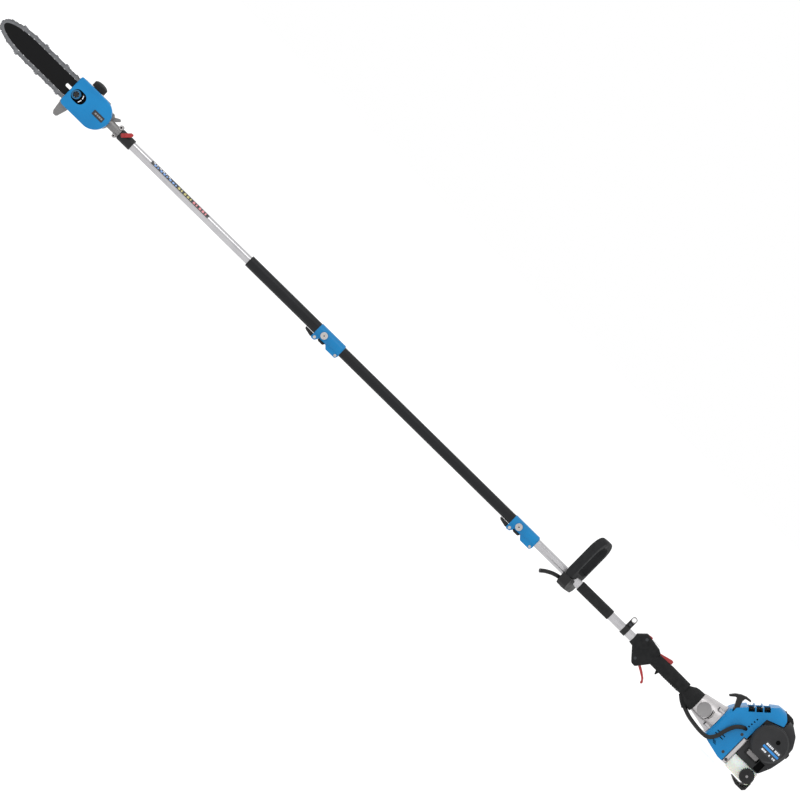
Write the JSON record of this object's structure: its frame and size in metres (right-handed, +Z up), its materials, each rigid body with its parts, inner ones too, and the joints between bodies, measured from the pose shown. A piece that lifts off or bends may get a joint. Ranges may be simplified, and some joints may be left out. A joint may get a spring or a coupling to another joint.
{
  "type": "telescoping pole saw",
  "caption": "Engine-driven telescoping pole saw: clamped tube stages, loop handle, rear grip with trigger, small engine, bevel gear head, guide bar and chain.",
  "frame": {"origin": "middle of the bounding box on the ground plane", "axes": "+X along the pole towards the engine, +Z up, -Y the side with the starter, filter cover and guide bar"},
  "size_m": [3.0086, 0.19, 0.2442],
  "materials": {
    "blue_paint": "gloss",
    "blue_plastic": "gloss",
    "black_plastic": "fine grain",
    "dark_grey_plastic": "fine grain",
    "red_plastic": "gloss",
    "white_plastic": "translucent",
    "soft_rubber": "matt",
    "tube_aluminium": "satin",
    "black_paint": "satin",
    "cast_aluminium": "as cast",
    "steel": "bright",
    "filter_foam": "open cell"
  },
  "bodies": {
    "power_unit": {"lower_tube": "tube_aluminium", "shaft_bushes": "black_plastic", "loop_handle": "soft_rubber", "loop_bracket": "black_plastic", "foam_grip": "soft_rubber", "harness_clamp": "black_plastic", "handle_shell_left": "black_plastic", "handle_shell_right": "black_plastic", "machine_screws": "steel", "cable_conduit": "black_plastic", "clutch_housing": "cast_aluminium", "shaft_bearings": "steel", "crankcase": "cast_aluminium", "cylinder": "cast_aluminium", "piston_set": "cast_aluminium", "spark_plug": "soft_rubber", "fan_shroud": "blue_plastic", "rear_cover": "dark_grey_plastic", "filter_cover": "dark_grey_plastic", "air_filter": "filter_foam", "carburettor": "cast_aluminium", "muffler": "steel", "muffler_guard": "black_plastic", "fuel_tank": "white_plastic", "foot_stand": "black_plastic"},
    "middle_stage": {"middle_tube": "black_paint", "middle_clamp": "blue_paint", "middle_clamp_bolts": "steel"},
    "front_stage": {"sleeve_tube": "black_paint", "sleeve_clamp": "blue_paint", "upper_tube": "tube_aluminium", "upper_bushes": "black_plastic", "pole_collar": "black_plastic", "front_screws": "steel", "gear_case": "cast_aluminium", "oil_tank": "dark_grey_plastic", "side_cover": "blue_plastic", "guide_bar": "black_paint", "saw_chain": "steel"},
    "middle_lever": {"middle_clamp_lever": "black_plastic"},
    "sleeve_lever": {"sleeve_clamp_lever": "black_plastic"},
    "drum": {"clutch_drum": "steel", "drive_shaft_lower": "steel"},
    "middle_shaft": {"drive_shaft_middle": "steel"},
    "front_shaft": {"drive_shaft_front": "steel"},
    "sprocket": {"sprocket_gear": "steel"},
    "crank": {"crankshaft": "steel", "flywheel": "cast_aluminium", "clutch_shoes": "steel"},
    "reel": {"recoil_reel": "black_plastic"},
    "starter": {"starter_handle": "black_plastic"},
    "trigger": {"throttle_trigger": "red_plastic"},
    "lockout": {"lockout_lever": "red_plastic"},
    "switch": {"kill_switch": "red_plastic"},
    "choke": {"choke_lever": "black_plastic"},
    "primer": {"primer_bulb": "soft_rubber"},
    "fuel_cap_body": {"fuel_cap": "black_plastic"},
    "oil_cap_body": {"oil_cap": "black_plastic"},
    "knob": {"cover_knob": "black_plastic"},
    "latch": {"latch_lever": "red_plastic"}
  },
  "joints": [
    {"name": "middle_slide", "type": "slide", "parent": "power_unit", "child": "middle_stage", "axis": [-1, 0, 0], "range_m": [-0.055, 0.45]},
    {"name": "front_slide", "type": "slide", "parent": "middle_stage", "child": "front_stage", "axis": [-1, 0, 0], "range_m": [-0.17, 0]},
    {"name": "middle_clamp_open", "type": "hinge", "parent": "middle_stage", "child": "middle_lever", "pos_m": [0.498, 0, 0.0678], "axis": [0, -1, 0], "range_deg": [0, 100]},
    {"name": "sleeve_clamp_open", "type": "hinge", "parent": "front_stage", "child": "sleeve_lever", "pos_m": [-0.265, 0, 0.0661], "axis": [0, -1, 0], "range_deg": [0, 100]},
    {"name": "latch_turn", "type": "hinge", "parent": "front_stage", "child": "latch", "pos_m": [-1.041, -0.0199, 0.094], "axis": [0, -1, 0], "range_deg": [0, 45]},
    {"name": "drum_spin", "type": "hinge", "parent": "power_unit", "child": "drum", "pos_m": [1.26, 0, 0.09], "axis": [1, 0, 0], "continuous": true},
    {"name": "middle_shaft_spin", "type": "hinge", "parent": "middle_stage", "child": "middle_shaft", "pos_m": [0, 0, 0.09], "axis": [1, 0, 0], "continuous": true},
    {"name": "front_shaft_spin", "type": "hinge", "parent": "front_stage", "child": "front_shaft", "pos_m": [-0.8, 0, 0.09], "axis": [1, 0, 0], "continuous": true},
    {"name": "sprocket_spin", "type": "hinge", "parent": "front_stage", "child": "sprocket", "pos_m": [-1.145, 0, 0.09], "axis": [0, 1, 0], "continuous": true},
    {"name": "crank_spin", "type": "hinge", "parent": "power_unit", "child": "crank", "pos_m": [1.396, 0, 0.09], "axis": [1, 0, 0], "continuous": true},
    {"name": "starter_pull", "type": "slide", "parent": "power_unit", "child": "starter", "axis": [-0.3846, 0, 0.9231], "range_m": [0, 0.7], "stiffness_N_per_m": 15, "springref_m": -0.3},
    {"name": "recoil_turn", "type": "hinge", "parent": "power_unit", "child": "reel", "pos_m": [1.301, 0, 0.09], "axis": [1, 0, 0], "range_deg": [-1190, 0]},
    {"name": "trigger_pull", "type": "hinge", "parent": "power_unit", "child": "trigger", "pos_m": [1.016, 0, 0.056], "axis": [0, -1, 0], "range_deg": [0, 25], "stiffness_Nm_per_rad": 0.6, "springref_deg": -11.46},
    {"name": "lockout_press", "type": "hinge", "parent": "power_unit", "child": "lockout", "pos_m": [1.052, 0, 0.108], "axis": [0, 1, 0], "range_deg": [0, 6.5], "stiffness_Nm_per_rad": 1.2, "springref_deg": -5.73},
    {"name": "switch_slide", "type": "slide", "parent": "power_unit", "child": "switch", "axis": [1, 0, 0], "range_m": [0, 0.004]},
    {"name": "choke_turn", "type": "hinge", "parent": "power_unit", "child": "choke", "pos_m": [1.404, -0.06, 0.091], "axis": [0, -1, 0], "range_deg": [0, 15]},
    {"name": "primer_press", "type": "slide", "parent": "power_unit", "child": "primer", "axis": [0, 1, 0], "range_m": [0, 0.005], "stiffness_N_per_m": 400, "springref_m": -0.002},
    {"name": "fuel_cap_turn", "type": "hinge", "parent": "power_unit", "child": "fuel_cap_body", "pos_m": [1.453, -0.066, 0.039], "axis": [0, -1, 0], "range_deg": [0, 540]},
    {"name": "oil_cap_turn", "type": "hinge", "parent": "front_stage", "child": "oil_cap_body", "pos_m": [-1.182, 0.009, 0.145], "axis": [0, 0, 1], "range_deg": [0, 540]},
    {"name": "knob_turn", "type": "hinge", "parent": "power_unit", "child": "knob", "pos_m": [1.5, 0, 0.154], "axis": [1, 0, 0], "range_deg": [0, 720]}
  ],
  "couplings": [
    {"joint": "middle_shaft_spin", "follows": "drum_spin", "ratio": 1},
    {"joint": "front_shaft_spin", "follows": "drum_spin", "ratio": 1},
    {"joint": "sprocket_spin", "follows": "drum_spin", "ratio": -0.75},
    {"joint": "recoil_turn", "follows": "starter_pull", "rad_per_m": -29.41}
  ]
}
